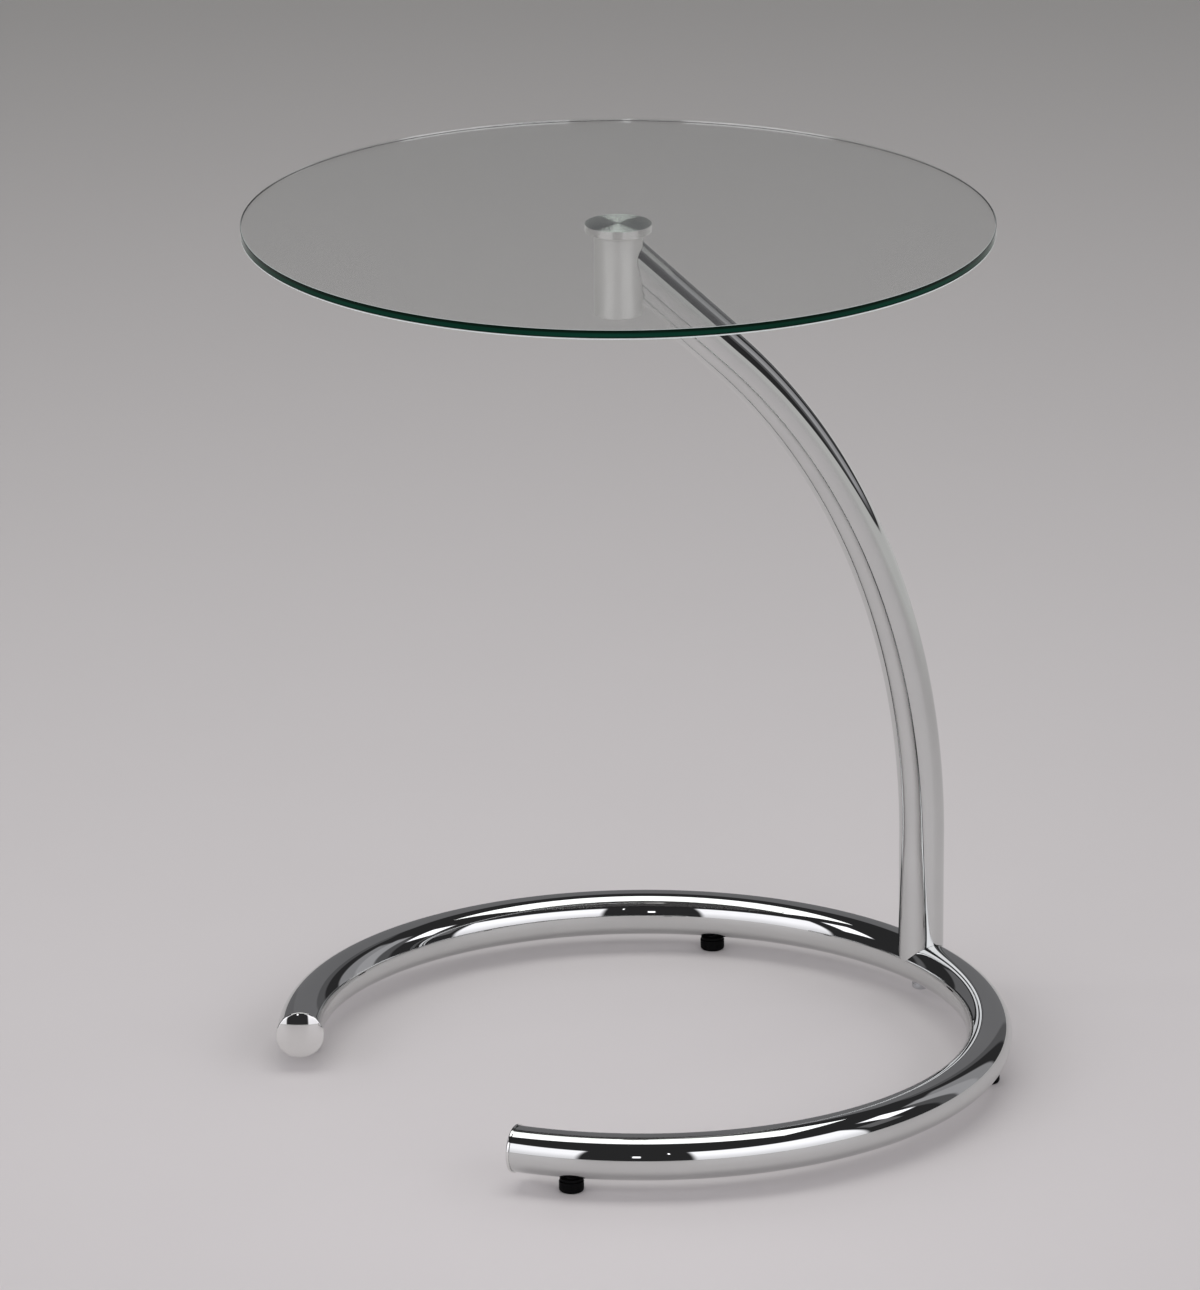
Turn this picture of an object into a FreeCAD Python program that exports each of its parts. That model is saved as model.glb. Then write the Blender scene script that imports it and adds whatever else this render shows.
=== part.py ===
import FreeCAD, Part
import Sketcher
import math
import os

# Glass side table on a chromed tube frame. Millimetres, +Z up.
# The origin is on the floor, half way between the glass's centre and the ring's centre.
# +Y points to the side where the arm rises, and the ring's mouth opens towards -Y.

# Driving sizes. Angles are in degrees and a name that ends in share is a share of a length.
SIZES = {
    # the whole table
    "table_height": 542.0,
    "foot_height": 9.0,
    "glass_overhang": 18.0,
    # the glass
    "glass_diameter": 450.0,
    "glass_thickness": 6.0,
    "glass_arris": 0.5,
    # the tube that the ring and the arm are bent from
    "tube_diameter": 28.0,
    "tube_wall": 1.5,
    "seat_gap": 0.1,
    # the ring on the floor
    "ring_diameter": 450.0,
    "mouth_angle": 67.4,
    # the arm, upright above the ring, then bent over and straight to the post; its two
    # straight lines meet at the corner share of the climb, and the bend rounds that corner
    "arm_corner_share": 0.5916,
    "arm_straight_length": 88.3,
    "arm_seat_share": 0.48,
    # the post under the glass
    "post_diameter": 29.0,
    "post_length": 49.0,
    "post_chamfer": 1.0,
    "post_counterbore_depth": 10.0,
    "spacer_thickness": 2.0,
    # the disc that is bonded to the glass
    "disc_diameter": 40.0,
    "disc_thickness": 5.0,
    "disc_chamfer": 0.4,
    "boss_diameter": 14.0,
    "boss_length": 8.0,
    "disc_floor": 3.0,
    # the bolt through the post
    "post_bolt_diameter": 8.0,
    "post_head_diameter": 13.0,
    "post_head_height": 5.0,
    "post_key_width": 5.0,
    # the bolt through the ring
    "base_bolt_diameter": 6.0,
    "base_head_diameter": 10.5,
    "base_head_height": 3.3,
    "base_key_width": 4.0,
    # both bolts
    "bolt_hole_clearance": 0.3,
    "thread_clearance": 0.06,
    "bolt_head_round": 1.4,
    "hex_key_depth": 2.0,
    "lock_washer_diameter": 14.0,
    "lock_washer_thickness": 1.6,
    "bolt_tip_gap": 1.5,
    # the plugs welded into the arm's two ends
    "foot_plug_length": 18.0,
    "foot_plug_hole_depth": 14.0,
    "head_plug_length": 26.0,
    "spigot_diameter": 14.0,
    "spigot_reach": 6.0,
    "spigot_root": 8.0,
    # the curved washer under the ring
    "saddle_diameter": 10.0,
    "saddle_thickness": 0.6,
    "saddle_lip": 0.9,
    # the plugs in the ring's open ends, whose heads stand a little proud of the tube
    "cap_lip": 0.7,
    "cap_rim": 2.1,
    "cap_bulge": 2.2,
    "cap_edge_round": 2.3,
    "cap_spigot_length": 10.0,
    # the four levelling feet
    "back_foot_angle": 43.0,
    "front_foot_angle": 137.2,
    "pad_diameter": 15.0,
    "pad_round": 1.8,
    "pad_top_chamfer": 0.5,
    "pad_sole": 1.4,
    "collar_diameter": 14.0,
    "collar_height": 1.7,
    "foot_gap": 0.3,
    "stud_diameter": 6.0,
    "stud_length": 22.0,
    "stud_clearance": 0.06,
    "stud_disc_diameter": 9.0,
    "stud_disc_thickness": 1.6,
    "stud_disc_gap": 0.15,
    "insert_diameter": 9.0,
    "insert_length": 13.0,
    "insert_collar_diameter": 12.0,
    "insert_collar_length": 3.0,
    # how far a cut runs past the face that it opens
    "overrun": 2.0,
}

# Sizes that follow from the driving ones, each written with names above it.
DERIVED = {
    "ring_radius": "(ring_diameter - tube_diameter) / 2",
    "ring_height": "foot_height + tube_diameter / 2",
    "ring_y": "glass_overhang / 2",
    "glass_y": "-glass_overhang / 2",
    "ring_half_sweep": "180 - mouth_angle / 2",
    "tube_radius": "tube_diameter / 2",
    "bore_radius": "tube_diameter / 2 - tube_wall",
    "plug_radius": "bore_radius - seat_gap",
    "post_radius": "post_diameter / 2",
    "glass_underside": "table_height - glass_thickness",
    "disc_underside": "glass_underside - disc_thickness",
    "post_top": "disc_underside - spacer_thickness",
    "post_foot": "post_top - post_length",
    "arm_seat_height": "post_top - arm_seat_share * post_length",
    "boss_radius": "boss_diameter / 2",
    "boss_hole_radius": "boss_radius + seat_gap",
    "boss_depth": "boss_length - spacer_thickness",
    "post_bolt_hole_radius": "post_bolt_diameter / 2 + bolt_hole_clearance",
    "post_tapped_radius": "post_bolt_diameter / 2 + thread_clearance",
    "base_bolt_hole_radius": "base_bolt_diameter / 2 + bolt_hole_clearance",
    "base_tapped_radius": "base_bolt_diameter / 2 + thread_clearance",
    "counterbore_radius": "lock_washer_diameter / 2 + bolt_hole_clearance",
    "post_bolt_seat": "post_foot + post_counterbore_depth - lock_washer_thickness",
    "post_bolt_length": "glass_underside - disc_floor - bolt_tip_gap - post_bolt_seat",
    "tapped_depth": "disc_thickness + boss_length - disc_floor",
    "spigot_radius": "spigot_diameter / 2",
    "socket_radius": "spigot_radius + seat_gap",
    "ring_top": "ring_height + tube_radius",
    "base_bolt_seat": "foot_height - saddle_thickness",
    "base_bolt_length": "ring_top + seat_gap + foot_plug_hole_depth - bolt_tip_gap - base_bolt_seat",
    "stud_radius": "stud_diameter / 2",
    "stud_hole_radius": "stud_radius + stud_clearance",
    "insert_hole_radius": "insert_diameter / 2 + seat_gap",
    "collar_top": "foot_height - foot_gap",
    "collar_foot": "collar_top - collar_height",
    "pad_height": "collar_foot - foot_gap",
    "socket_floor": "pad_sole",
    "socket_roof": "pad_sole + stud_disc_thickness + 2 * stud_disc_gap",
    "insert_collar_radius": "insert_collar_diameter / 2",
    "insert_collar_start": "tube_radius - sqrt(bore_radius^2 - insert_collar_radius^2) + seat_gap",
    "arm_foot_y": "ring_y + ring_radius",
    "arm_reach": "ring_radius + glass_overhang",
    "arm_span": "arm_reach - post_radius",
    "arm_climb": "arm_seat_height - ring_height",
    "arm_angle": "atan(arm_span / (arm_climb * (1 - arm_corner_share)))",
    "arm_bend_tangent": "arm_span / sin(arm_angle) - arm_straight_length",
    "arm_bend_radius": "arm_bend_tangent / tan(arm_angle / 2)",
    "arm_leg_length": "arm_climb * arm_corner_share - arm_bend_tangent",
    "arm_end_height": "arm_seat_height + post_radius / tan(arm_angle)",
    "head_plug_core": "post_radius / sin(arm_angle) + head_plug_length",
    "cap_radius": "tube_radius + cap_lip",
    "cap_tip_radius": "plug_radius - cap_spigot_length * cap_spigot_length / (2 * ring_radius)",
}

os.makedirs("parts", exist_ok=True)
doc = FreeCAD.newDocument("GlassSideTable")

# The sheet of sizes, one row each: the name, then the number or the formula
sheet = doc.addObject("Spreadsheet::Sheet", "Sizes")
for row, (name, value) in enumerate(list(SIZES.items()) + list(DERIVED.items()), start=1):
    text = str(value) if name in SIZES else "=" + value
    sheet.set("A%d" % row, name)
    sheet.set("B%d" % row, text)
    sheet.setAlias("B%d" % row, name)
doc.recompute()


def size(name):
    """The value of one size in the sheet."""
    value = getattr(sheet, name)
    return float(getattr(value, "Value", value))


def value_of(expression):
    """The number that an expression of sheet names comes to."""
    result = sheet.evalExpression(expression)
    return float(getattr(result, "Value", result))


def bound(expression):
    """The same expression as another object writes it, with the sheet's name before each size."""
    words = []
    word = ""
    for letter in expression + " ":
        if letter.isalnum() or letter == "_":
            word += letter
            continue
        known = word in SIZES or word in DERIVED
        words.append("Sizes." + word if known else word)
        words.append(letter)
        word = ""
    return "".join(words).strip()


def bind(thing, **properties):
    """Tie each named property of an object to an expression of sheet names."""
    for name, expression in properties.items():
        thing.setExpression(name.replace("__", "."), bound(expression))


def place(thing, x="0", y="0", z="0"):
    """Tie an object's place to expressions of sheet names."""
    bind(thing, Placement__Base__x=x, Placement__Base__y=y, Placement__Base__z=z)


def new_body(label, x="0", y="0", z="0"):
    """An empty body whose label names its piece, standing at the given place."""
    body = doc.addObject("PartDesign::Body", label)
    body.Label = label
    place(body, x, y, z)
    return body


def new_sketch(body, role, name):
    """A sketch on one of the body's own origin planes."""
    plane = [item for item in body.Origin.OriginFeatures if item.Role == role][0]
    sketch = body.newObject("Sketcher::SketchObject", name)
    sketch.AttachmentSupport = [(plane, "")]
    sketch.MapMode = "FlatFace"
    return sketch


def fix_point(sketch, geometry, end, across, up):
    """Hold one point of a sketch at expressions of sheet names, or on an axis where one is zero."""
    for kind, axis, expression in (("DistanceX", -2, across), ("DistanceY", -1, up)):
        distance = value_of(expression)
        if expression == "0":
            sketch.addConstraint(Sketcher.Constraint("PointOnObject", geometry, end, axis))
            continue
        index = sketch.addConstraint(Sketcher.Constraint(kind, -1, 1, geometry, end, distance))
        sketch.setExpression("Constraints[%d]" % index, bound(expression))


def draw_outline(sketch, points):
    """A closed outline of straight lines through points given as pairs of expressions."""
    places = [FreeCAD.Vector(value_of(across), value_of(up), 0) for across, up in points]
    count = len(points)
    for index in range(count):
        start = places[index]
        end = places[(index + 1) % count]
        sketch.addGeometry(Part.LineSegment(start, end), False)
    for index in range(count):
        following = (index + 1) % count
        sketch.addConstraint(Sketcher.Constraint("Coincident", index, 2, following, 1))
    for index, (across, up) in enumerate(points):
        fix_point(sketch, index, 1, across, up)


def draw_circle(sketch, across, up, radius):
    """A circle whose centre and radius are expressions of sheet names."""
    centre = FreeCAD.Vector(value_of(across), value_of(up), 0)
    upright = FreeCAD.Vector(0, 0, 1)
    circle = sketch.addGeometry(Part.Circle(centre, upright, value_of(radius)), False)
    if across == "0" and up == "0":
        sketch.addConstraint(Sketcher.Constraint("Coincident", circle, 3, -1, 1))
    else:
        fix_point(sketch, circle, 3, across, up)
    index = sketch.addConstraint(Sketcher.Constraint("Radius", circle, value_of(radius)))
    sketch.setExpression("Constraints[%d]" % index, bound(radius))


def turn(body, points, axis="V_Axis", role="XZ_Plane"):
    """A solid of revolution in a body, from an outline of radius and height pairs."""
    sketch = new_sketch(body, role, "TurnedOutline")
    draw_outline(sketch, points)
    turned = body.newObject("PartDesign::Revolution", "Turned")
    turned.Profile = sketch
    turned.ReferenceAxis = (sketch, [axis])
    turned.Angle = 360
    doc.recompute()
    return turned


def pocket(body, sketch, length=None, other_way=None):
    """A pocket that has to take material away, to a depth on one or both sides, or through all."""
    before = body.Shape.Volume
    cut = body.newObject("PartDesign::Pocket", "Cut")
    cut.Profile = sketch
    if length is None:
        cut.Type = "ThroughAll"
        cut.SideType = "Symmetric"
    else:
        bind(cut, Length=length)
    if other_way is not None:
        cut.SideType = "Two sides"
        bind(cut, Length2=other_way)
    doc.recompute()
    if not body.Shape.Volume < before:
        raise RuntimeError(body.Label + ": a cut takes nothing away")
    return cut


def dress(body, kind, edges, expression):
    """A fillet or a chamfer on the given edges of the body's last feature."""
    base = body.Tip
    feature = body.newObject("PartDesign::" + kind, kind)
    feature.Base = (base, edges)
    bind(feature, **{"Radius" if kind == "Fillet" else "Size": expression})
    doc.recompute()
    return feature


def round_edges(body, height=None, radius=None):
    """The names of the body's circular edges at a height, with a radius, or both."""
    names = []
    for index, edge in enumerate(body.Tip.Shape.Edges, start=1):
        if edge.Degenerated or not isinstance(edge.Curve, Part.Circle):
            continue
        same_height = height is None or math.isclose(edge.Curve.Center.z, height, abs_tol=1e-5)
        same_radius = radius is None or math.isclose(edge.Curve.Radius, radius, abs_tol=1e-5)
        if same_height and same_radius:
            names.append("Edge%d" % index)
    return names


# Glass top: one round pane with a ground bevel on both rim edges
glass_top = new_body("glass_top", y="glass_y", z="glass_underside")
turn(glass_top, [
    ("0", "0"),
    ("glass_diameter / 2 - glass_arris", "0"),
    ("glass_diameter / 2", "glass_arris"),
    ("glass_diameter / 2", "glass_thickness - glass_arris"),
    ("glass_diameter / 2 - glass_arris", "glass_thickness"),
    ("0", "glass_thickness"),
])

# Glass disc: turned aluminium, bonded under the pane, with a tapped boss that points down
glass_disc = new_body("glass_disc", y="glass_y", z="disc_underside - boss_length")
turn(glass_disc, [
    ("post_tapped_radius", "0"),
    ("boss_radius", "0"),
    ("boss_radius", "boss_length"),
    ("disc_diameter / 2 - disc_chamfer", "boss_length"),
    ("disc_diameter / 2", "boss_length + disc_chamfer"),
    ("disc_diameter / 2", "boss_length + disc_thickness - disc_chamfer"),
    ("disc_diameter / 2 - disc_chamfer", "boss_length + disc_thickness"),
    ("0", "boss_length + disc_thickness"),
    ("0", "tapped_depth"),
    ("post_tapped_radius", "tapped_depth"),
])

# Spacer ring: sits round the boss, between the disc and the post
spacer_ring = new_body("spacer_ring", y="glass_y", z="post_top")
turn(spacer_ring, [
    ("boss_hole_radius", "0"),
    ("post_radius", "0"),
    ("post_radius", "spacer_thickness"),
    ("boss_hole_radius", "spacer_thickness"),
])

# Post: satin aluminium bar, bored for the bolt, with a round socket for the arm in its back
post = new_body("post", y="glass_y", z="post_foot")
turn(post, [
    ("counterbore_radius", "0"),
    ("post_radius - post_chamfer", "0"),
    ("post_radius", "post_chamfer"),
    ("post_radius", "post_length"),
    ("boss_hole_radius", "post_length"),
    ("boss_hole_radius", "post_length - boss_depth - bolt_hole_clearance"),
    ("post_bolt_hole_radius", "post_length - boss_depth - bolt_hole_clearance"),
    ("post_bolt_hole_radius", "post_counterbore_depth"),
    ("counterbore_radius", "post_counterbore_depth"),
])
arm_socket = new_sketch(post, "XZ_Plane", "ArmSocket")
draw_circle(arm_socket, "0", "arm_seat_height - post_foot", "socket_radius")
pocket(post, arm_socket, "post_radius + overrun", other_way="spigot_reach + seat_gap")


def bolt(place_name, y, seat):
    """A round-headed bolt with a hexagon socket, head down, its thread left plain.

    Its sizes are those whose names start with the name of its place, post or base."""
    height = place_name + "_head_height"
    top = height + " + " + place_name + "_bolt_length"
    body = new_body(place_name + "_bolt", "0", y, seat + " - " + height)
    turn(body, [
        ("0", "0"),
        (place_name + "_head_diameter / 2", "0"),
        (place_name + "_head_diameter / 2", height),
        (place_name + "_bolt_diameter / 2", height),
        (place_name + "_bolt_diameter / 2", top),
        ("0", top),
    ])
    dress(body, "Fillet", round_edges(body, 0.0), "bolt_head_round")
    key = body.newObject("PartDesign::SubtractivePrism", "KeySocket")
    key.Polygon = 6
    bind(key, Circumradius=place_name + "_key_width / sqrt(3)", Height="hex_key_depth")
    doc.recompute()
    return body


# Post bolt: comes up through the post and the arm's spigot into the disc's boss
bolt("post", "glass_y", "post_bolt_seat")

# Lock washer: under the post bolt's head, in the counterbore
lock_washer = new_body("lock_washer", y="glass_y", z="post_bolt_seat")
turn(lock_washer, [
    ("post_bolt_hole_radius", "0"),
    ("lock_washer_diameter / 2", "0"),
    ("lock_washer_diameter / 2", "lock_washer_thickness"),
    ("post_bolt_hole_radius", "lock_washer_thickness"),
])

# Arm tube: straight above the ring, one long bend, straight to the post, both ends coped
arm_tube = new_body("arm_tube", y="glass_y")
arm_path = new_sketch(arm_tube, "YZ_Plane", "ArmPath")
leg_top = value_of("ring_height + arm_leg_length")
bend_centre = FreeCAD.Vector(value_of("arm_reach - arm_bend_radius"), leg_top, 0)
bend_angle = math.radians(size("arm_angle"))
bend_direction = FreeCAD.Vector(math.cos(bend_angle), math.sin(bend_angle), 0)
bend_end = bend_centre + size("arm_bend_radius") * bend_direction
leg_foot = FreeCAD.Vector(size("arm_reach"), size("ring_height"), 0)
leg_end = FreeCAD.Vector(size("arm_reach"), leg_top, 0)
arm_end = FreeCAD.Vector(0, size("arm_end_height"), 0)
seat_point = FreeCAD.Vector(size("post_radius"), size("arm_seat_height"), 0)
upright = FreeCAD.Vector(0, 0, 1)
whole_bend = Part.Circle(bend_centre, upright, size("arm_bend_radius"))
leg = arm_path.addGeometry(Part.LineSegment(leg_foot, leg_end), False)
bend = arm_path.addGeometry(Part.ArcOfCircle(whole_bend, 0, bend_angle), False)
slope = arm_path.addGeometry(Part.LineSegment(bend_end, arm_end), False)
seat = arm_path.addGeometry(Part.Point(seat_point), True)
arm_path.addConstraint(Sketcher.Constraint("Tangent", leg, 2, bend, 1))
arm_path.addConstraint(Sketcher.Constraint("Tangent", bend, 2, slope, 1))
arm_path.addConstraint(Sketcher.Constraint("Vertical", leg))
fix_point(arm_path, leg, 1, "arm_reach", "ring_height")
leg_length = Sketcher.Constraint("Distance", leg, size("arm_leg_length"))
arm_path.setExpression("Constraints[%d]" % arm_path.addConstraint(leg_length), bound("arm_leg_length"))
bend_radius = Sketcher.Constraint("Radius", bend, size("arm_bend_radius"))
arm_path.setExpression("Constraints[%d]" % arm_path.addConstraint(bend_radius), bound("arm_bend_radius"))
arm_path.addConstraint(Sketcher.Constraint("PointOnObject", slope, 2, -2))
fix_point(arm_path, seat, 1, "post_radius", "arm_seat_height")
arm_path.addConstraint(Sketcher.Constraint("PointOnObject", seat, 1, slope))
arm_section = new_sketch(arm_tube, "XY_Plane", "ArmSection")
bind(arm_section, AttachmentOffset__Base__z="ring_height")
draw_circle(arm_section, "0", "arm_reach", "tube_radius")
draw_circle(arm_section, "0", "arm_reach", "bore_radius")
doc.recompute()
arm_sweep = arm_tube.newObject("PartDesign::AdditivePipe", "ArmSweep")
arm_sweep.Profile = arm_section
arm_sweep.Spine = (arm_path, ["Edge1", "Edge2", "Edge3"])
doc.recompute()
ring_cope = arm_tube.newObject("PartDesign::SubtractiveTorus", "RingCope")
bind(ring_cope, Radius1="ring_radius", Radius2="tube_radius + seat_gap")
place(ring_cope, y="glass_overhang", z="ring_height")
doc.recompute()
post_cope = arm_tube.newObject("PartDesign::SubtractiveCylinder", "PostCope")
bind(post_cope, Radius="post_radius + seat_gap", Height="table_height + tube_diameter - post_foot")
place(post_cope, z="post_foot")
doc.recompute()

# Arm foot plug: steel, welded inside the arm above the ring, tapped from below
arm_foot_plug = new_body("arm_foot_plug", y="arm_foot_y", z="ring_top + seat_gap")
turn(arm_foot_plug, [
    ("base_tapped_radius", "0"),
    ("plug_radius", "0"),
    ("plug_radius", "foot_plug_length"),
    ("0", "foot_plug_length"),
    ("0", "foot_plug_hole_depth"),
    ("base_tapped_radius", "foot_plug_hole_depth"),
])


def cylinder(label, radius, height, y, z, tilt=None):
    """A plain cylinder in the plane of the arm, tilted from upright towards -Y."""
    rod = doc.addObject("Part::Cylinder", label)
    bind(rod, Radius=radius, Height=height)
    place(rod, "0", y, z)
    if tilt is not None:
        rod.Placement.Rotation = FreeCAD.Rotation(FreeCAD.Vector(1, 0, 0), 90)
        bind(rod, Placement__Rotation__Angle=tilt)
    return rod


def combine(kind, label, base, tool):
    """Two solids joined or cut as one object."""
    result = doc.addObject("Part::" + kind, label)
    result.Base = base
    result.Tool = tool
    doc.recompute()
    return result


# Arm head plug: steel, welded inside the arm's upper end, with a spigot into the post
plug_core = cylinder("PlugCore", "plug_radius", "head_plug_core",
                     "glass_y + head_plug_core * sin(arm_angle)",
                     "arm_end_height - head_plug_core * cos(arm_angle)", tilt="arm_angle")
post_space = cylinder("PostSpace", "post_radius + seat_gap",
                      "table_height + tube_diameter - post_foot", "glass_y", "post_foot")
coped_core = combine("Cut", "CopedCore", plug_core, post_space)
spigot = cylinder("Spigot", "spigot_radius", "post_radius + spigot_root + spigot_reach",
                  "glass_y + post_radius + spigot_root", "arm_seat_height", tilt="90")
plug_with_spigot = combine("Fuse", "PlugWithSpigot", coped_core, spigot)
cross_hole = cylinder("CrossHole", "post_bolt_hole_radius", "post_length", "glass_y", "post_foot")
combine("Cut", "arm_head_plug", plug_with_spigot, cross_hole)

# Base ring: round tube bent to most of a circle, drilled for the arm's bolt and for the feet
base_ring = new_body("base_ring", y="ring_y", z="ring_height")
ring_section = new_sketch(base_ring, "YZ_Plane", "RingSection")
draw_circle(ring_section, "ring_radius", "0", "tube_radius")
draw_circle(ring_section, "ring_radius", "0", "bore_radius")
ring_bend = base_ring.newObject("PartDesign::Revolution", "RingBend")
ring_bend.Profile = ring_section
ring_bend.ReferenceAxis = (ring_section, ["V_Axis"])
ring_bend.Midplane = True
bind(ring_bend, Angle="2 * ring_half_sweep")
doc.recompute()
arm_hole = new_sketch(base_ring, "XY_Plane", "ArmBoltHole")
draw_circle(arm_hole, "0", "ring_radius", "base_bolt_hole_radius")
pocket(base_ring, arm_hole)
FEET = {
    "right_back": ("ring_radius * sin(back_foot_angle)", "ring_radius * cos(back_foot_angle)"),
    "right_front": ("ring_radius * sin(front_foot_angle)", "ring_radius * cos(front_foot_angle)"),
    "left_back": ("-ring_radius * sin(back_foot_angle)", "ring_radius * cos(back_foot_angle)"),
    "left_front": ("-ring_radius * sin(front_foot_angle)", "ring_radius * cos(front_foot_angle)"),
}
foot_holes = new_sketch(base_ring, "XY_Plane", "FootHoles")
for across, back in FEET.values():
    draw_circle(foot_holes, across, back, "insert_hole_radius")
pocket(base_ring, foot_holes, "tube_radius + overrun")

# Base bolt and its curved washer: hold the arm down through both walls of the ring
bolt("base", "arm_foot_y", "base_bolt_seat")
saddle_washer = new_body("saddle_washer", y="arm_foot_y", z="base_bolt_seat")
turn(saddle_washer, [
    ("base_bolt_hole_radius", "0"),
    ("saddle_diameter / 2", "0"),
    ("saddle_diameter / 2", "saddle_thickness + saddle_lip"),
    ("base_bolt_hole_radius", "saddle_thickness + saddle_lip"),
])
saddle = saddle_washer.newObject("PartDesign::SubtractiveTorus", "Saddle")
bind(saddle, Radius1="ring_radius", Radius2="tube_radius")
place(saddle, y="-ring_radius", z="tube_radius + saddle_thickness")
doc.recompute()


def end_cap(label, x, turned):
    """A plug with a low domed head and a spigot that fits the tube, pointing along its own X axis."""
    body = new_body(label, x, "ring_y + ring_radius * cos(ring_half_sweep)", "ring_height")
    sketch = new_sketch(body, "XY_Plane", "CapOutline")
    rim = size("cap_rim")
    bulge = size("cap_bulge")
    radius = size("cap_radius")
    corners = [
        ("cap_rim + cap_bulge", "0"),
        ("-cap_spigot_length", "0"),
        ("-cap_spigot_length", "cap_tip_radius"),
        ("0", "plug_radius"),
        ("0", "cap_radius"),
        ("cap_rim", "cap_radius"),
    ]
    places = [FreeCAD.Vector(value_of(along), value_of(out), 0) for along, out in corners]
    for start, end in zip(places[:-1], places[1:]):
        sketch.addGeometry(Part.LineSegment(start, end), False)
    for index, (along, out) in enumerate(corners[:-1]):
        fix_point(sketch, index, 1, along, out)
        if index:
            sketch.addConstraint(Sketcher.Constraint("Coincident", index - 1, 2, index, 1))
    last = len(corners) - 2
    fix_point(sketch, last, 2, *corners[-1])
    dome_radius = (radius * radius + bulge * bulge) / (2 * bulge)
    centre = FreeCAD.Vector(rim + bulge - dome_radius, 0, 0)
    half_angle = math.asin(radius / dome_radius)
    circle = Part.Circle(centre, FreeCAD.Vector(0, 0, 1), dome_radius)
    dome = sketch.addGeometry(Part.ArcOfCircle(circle, 0, half_angle), False)
    sketch.addConstraint(Sketcher.Constraint("Coincident", dome, 1, 0, 1))
    sketch.addConstraint(Sketcher.Constraint("Coincident", dome, 2, last, 2))
    sketch.addConstraint(Sketcher.Constraint("PointOnObject", dome, 3, -1))
    turned_cap = body.newObject("PartDesign::Revolution", "TurnedCap")
    turned_cap.Profile = sketch
    turned_cap.ReferenceAxis = (sketch, ["H_Axis"])
    turned_cap.Angle = 360
    doc.recompute()
    head_edge = [name for name in round_edges(body, radius=radius)
                 if math.isclose(turned_cap.Shape.getElement(name).Curve.Center.x, rim, abs_tol=1e-5)]
    dress(body, "Fillet", head_edge, "cap_edge_round")
    body.Placement.Rotation = FreeCAD.Rotation(FreeCAD.Vector(0, 0, 1), 90)
    bind(body, Placement__Rotation__Angle=turned)
    doc.recompute()
    return body


# End caps: chromed plugs with low domed heads that close the ring's two ends
end_cap("end_cap_right", "ring_radius * sin(ring_half_sweep)", "360 - ring_half_sweep")
end_cap("end_cap_left", "-ring_radius * sin(ring_half_sweep)", "180 + ring_half_sweep")

# Levelling feet: a threaded insert in the ring, a stud with its thumb collar, and a pad
for corner, (across, back) in FEET.items():
    back = "ring_y + " + back
    insert = new_body("foot_insert_" + corner, across, back, "foot_height")
    turn(insert, [
        ("stud_hole_radius", "0"),
        ("insert_diameter / 2", "0"),
        ("insert_diameter / 2", "insert_collar_start"),
        ("insert_collar_radius", "insert_collar_start"),
        ("insert_collar_radius", "insert_collar_start + insert_collar_length"),
        ("insert_diameter / 2", "insert_collar_start + insert_collar_length"),
        ("insert_diameter / 2", "insert_length"),
        ("stud_hole_radius", "insert_length"),
    ])
    stud = new_body("foot_stud_" + corner, across, back, "pad_sole + stud_disc_gap")
    turn(stud, [
        ("0", "0"),
        ("stud_disc_diameter / 2", "0"),
        ("stud_disc_diameter / 2", "stud_disc_thickness"),
        ("stud_radius", "stud_disc_thickness"),
        ("stud_radius", "stud_length"),
        ("0", "stud_length"),
    ])
    collar = new_body("foot_collar_" + corner, across, back, "collar_foot")
    turn(collar, [
        ("stud_hole_radius", "0"),
        ("collar_diameter / 2", "0"),
        ("collar_diameter / 2", "collar_height"),
        ("stud_hole_radius", "collar_height"),
    ])
    pad = new_body("foot_pad_" + corner, across, back, "0")
    turn(pad, [
        ("0", "0"),
        ("pad_diameter / 2", "0"),
        ("pad_diameter / 2", "pad_height - pad_top_chamfer"),
        ("pad_diameter / 2 - pad_top_chamfer", "pad_height"),
        ("stud_radius + stud_disc_gap", "pad_height"),
        ("stud_radius + stud_disc_gap", "socket_roof"),
        ("stud_disc_diameter / 2 + stud_disc_gap", "socket_roof"),
        ("stud_disc_diameter / 2 + stud_disc_gap", "socket_floor"),
        ("0", "socket_floor"),
    ])
    dress(pad, "Fillet", round_edges(pad, 0.0), "pad_round")

# Every object has to be sound before anything is written
doc.recompute()
faulty = [item.Label for item in doc.Objects if {"Invalid", "Error"} & set(item.State)]
if faulty:
    raise RuntimeError("not built: " + ", ".join(faulty))
pieces = [item for item in doc.Objects if item.isDerivedFrom("PartDesign::Body")]
pieces.append(doc.getObject("arm_head_plug"))
for piece in pieces:
    shape = piece.Shape
    if shape.isNull() or not shape.isValid() or len(shape.Solids) != 1:
        raise RuntimeError(piece.Label + " isn't one sound solid")
for piece in pieces:
    piece.Shape.exportStep(os.path.join("parts", piece.Label + ".step"))
print(len(pieces), "pieces written")
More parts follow.
